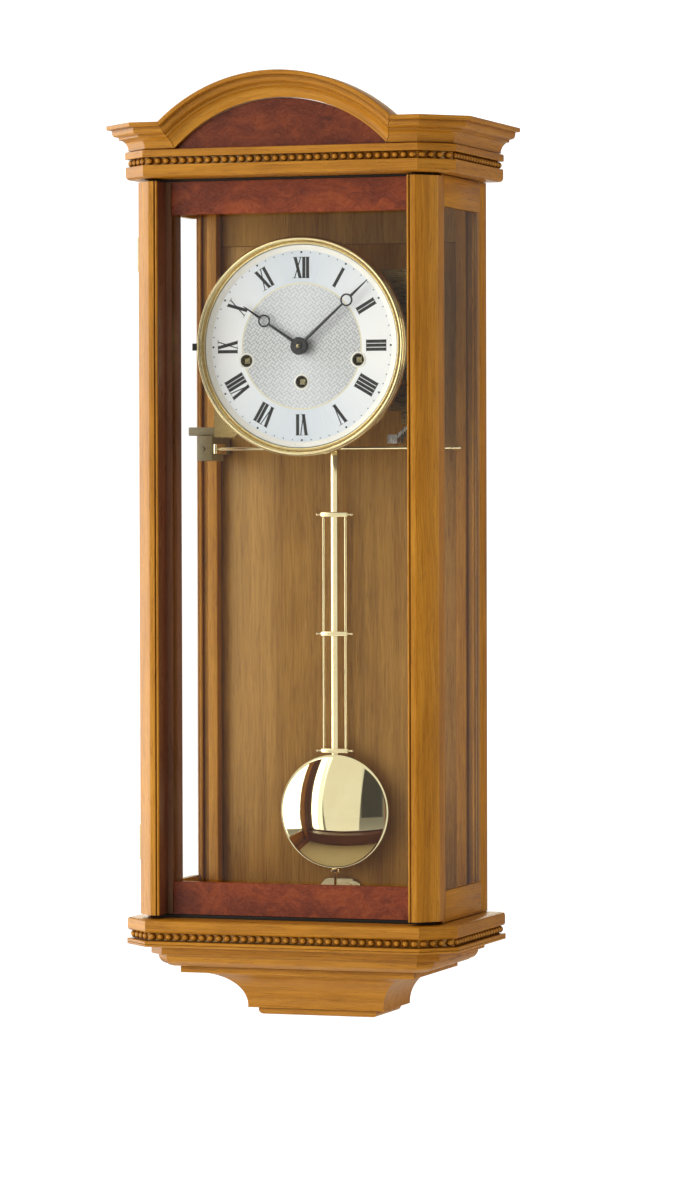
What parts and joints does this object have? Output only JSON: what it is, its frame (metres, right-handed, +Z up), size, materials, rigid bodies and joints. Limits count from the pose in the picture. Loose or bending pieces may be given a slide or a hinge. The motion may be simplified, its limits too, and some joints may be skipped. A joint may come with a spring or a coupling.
{
  "type": "pendulum wall clock",
  "caption": "Wall clock in a canted wooden case with an arched crown, glazed door and sides, round dial with Roman numerals, chime movement and a swinging pendulum.",
  "frame": {"origin": "the hanging point: centre of the hanger plate on the wall plane at the back of the case", "axes": "+Z up, +Y into the wall, -Y the front of the clock, +X to the right seen from the front"},
  "size_m": [0.2674, 0.1456, 0.6601],
  "materials": {
    "cherry": "golden brown stained cherry, satin lacquer",
    "burl_veneer": "dark red-brown burl veneer, gloss lacquer",
    "back_board": "brown veneered board, satin",
    "glass": "clear float glass",
    "steel": "plain",
    "bronze_casting": "bronze-brown paint",
    "dial_silver": "silver-white, fine radial brushing",
    "black_steel": "black, satin",
    "brass": "polished and lacquered"
  },
  "bodies": {
    "case": {"back_panel": "back_board", "back_plate": "brass", "back_rail": "back_board", "back_stile_left": "cherry", "back_stile_right": "cherry", "base_bead_strip": "cherry", "base_board": "cherry", "base_moulding": "cherry", "beat_plate": "brass", "bezel": "brass", "bracket_cap": "cherry", "bracket_pendant": "cherry", "bracket_plate": "cherry", "chime_block": "bronze_casting", "chime_rods": "brass", "cornice_arch": "cherry", "cornice_left": "cherry", "cornice_right": "cherry", "crown_bead_strip": "cherry", "crown_board": "cherry", "dial_plate": "dial_silver", "door_catch": "steel", "front_plate": "brass", "front_post_left": "cherry", "front_post_right": "cherry", "hanger_plate": "steel", "hinge_case_leaf_bottom": "brass", "hinge_case_leaf_top": "brass", "movement_bracket": "steel", "side_glass_left": "glass", "side_glass_right": "glass", "side_rail_bottom_left": "cherry", "side_rail_bottom_right": "cherry", "side_rail_top_left": "cherry", "side_rail_top_right": "cherry", "tympanum": "burl_veneer"},
    "door": {"door_glass": "glass", "door_rail_bottom": "burl_veneer", "door_rail_top": "burl_veneer", "door_stile_left": "cherry", "door_stile_right": "cherry", "hinge_door_leaf_bottom": "brass", "hinge_door_leaf_top": "brass"},
    "minute_hand": {"minute_hand": "black_steel"},
    "hour_hand": {"hour_hand": "black_steel"},
    "chime_arbor": {"chime_arbor": "steel"},
    "strike_arbor": {"strike_arbor": "steel"},
    "time_arbor": {"time_arbor": "steel"},
    "chime_barrel": {"chime_barrel": "brass"},
    "strike_barrel": {"strike_barrel": "brass"},
    "time_barrel": {"time_barrel": "brass"},
    "escape_wheel": {"escape_wheel": "brass"},
    "pallet_anchor": {"pallet_anchor": "steel"},
    "pendulum": {"pendulum_rod": "brass", "pendulum_bob": "brass"},
    "rating_nut": {"rating_nut": "brass"},
    "hammer_1": {"hammer_1": "steel"},
    "hammer_2": {"hammer_2": "steel"},
    "hammer_3": {"hammer_3": "steel"},
    "silence_lever": {"silence_lever": "black_steel"}
  },
  "joints": [
    {"name": "door_swing", "type": "hinge", "parent": "case", "child": "door", "pos_m": [-0.1123, -0.1072, -0.2393], "axis": [0, 0, -1], "range_deg": [0, 110]},
    {"name": "minute_turn", "type": "hinge", "parent": "case", "child": "minute_hand", "pos_m": [0, -0.0925, -0.0981], "axis": [0, 1, 0], "continuous": true},
    {"name": "hour_turn", "type": "hinge", "parent": "case", "child": "hour_hand", "pos_m": [0, -0.09, -0.0981], "axis": [0, 1, 0], "continuous": true},
    {"name": "pendulum_swing", "type": "hinge", "parent": "case", "child": "pendulum", "pos_m": [0, -0.0165, -0.0681], "axis": [0, 1, 0], "range_deg": [-4, 4]},
    {"name": "anchor_rock", "type": "hinge", "parent": "case", "child": "pallet_anchor", "pos_m": [0, -0.055, -0.0681], "axis": [0, 1, 0], "range_deg": [-4, 4]},
    {"name": "rating_nut_turn", "type": "hinge", "parent": "pendulum", "child": "rating_nut", "pos_m": [0, -0.0165, -0.4698], "axis": [0, 0, 1], "continuous": true},
    {"name": "escape_turn", "type": "hinge", "parent": "case", "child": "escape_wheel", "pos_m": [0, -0.059, -0.0881], "axis": [0, 1, 0], "continuous": true},
    {"name": "silence_tilt", "type": "hinge", "parent": "case", "child": "silence_lever", "pos_m": [-0.058, -0.0818, -0.0976], "axis": [0, 1, 0], "range_deg": [-8, 8]},
    {"name": "chime_winding", "type": "hinge", "parent": "case", "child": "chime_arbor", "pos_m": [-0.0408, -0.06, -0.1079], "axis": [0, 1, 0], "continuous": true},
    {"name": "chime_barrel_turn", "type": "hinge", "parent": "case", "child": "chime_barrel", "pos_m": [-0.0408, -0.06, -0.1079], "axis": [0, 1, 0], "continuous": true},
    {"name": "strike_winding", "type": "hinge", "parent": "case", "child": "strike_arbor", "pos_m": [0, -0.06, -0.123], "axis": [0, 1, 0], "continuous": true},
    {"name": "strike_barrel_turn", "type": "hinge", "parent": "case", "child": "strike_barrel", "pos_m": [0, -0.06, -0.123], "axis": [0, 1, 0], "continuous": true},
    {"name": "time_winding", "type": "hinge", "parent": "case", "child": "time_arbor", "pos_m": [0.0418, -0.06, -0.1079], "axis": [0, 1, 0], "continuous": true},
    {"name": "time_barrel_turn", "type": "hinge", "parent": "case", "child": "time_barrel", "pos_m": [0.0418, -0.06, -0.1079], "axis": [0, 1, 0], "continuous": true},
    {"name": "hammer_1_lift", "type": "hinge", "parent": "case", "child": "hammer_1", "pos_m": [0.068, -0.023, -0.147], "axis": [0, 1, 0], "range_deg": [0, 22], "stiffness_Nm_per_rad": 0.004, "springref_deg": -8.59},
    {"name": "hammer_2_lift", "type": "hinge", "parent": "case", "child": "hammer_2", "pos_m": [0.068, -0.0295, -0.147], "axis": [0, 1, 0], "range_deg": [0, 22], "stiffness_Nm_per_rad": 0.004, "springref_deg": -8.59},
    {"name": "hammer_3_lift", "type": "hinge", "parent": "case", "child": "hammer_3", "pos_m": [0.068, -0.036, -0.147], "axis": [0, 1, 0], "range_deg": [0, 22], "stiffness_Nm_per_rad": 0.004, "springref_deg": -8.59}
  ],
  "couplings": [
    {"joint": "hour_turn", "follows": "minute_turn", "ratio": 0.083333},
    {"joint": "anchor_rock", "follows": "pendulum_swing", "ratio": 1}
  ]
}
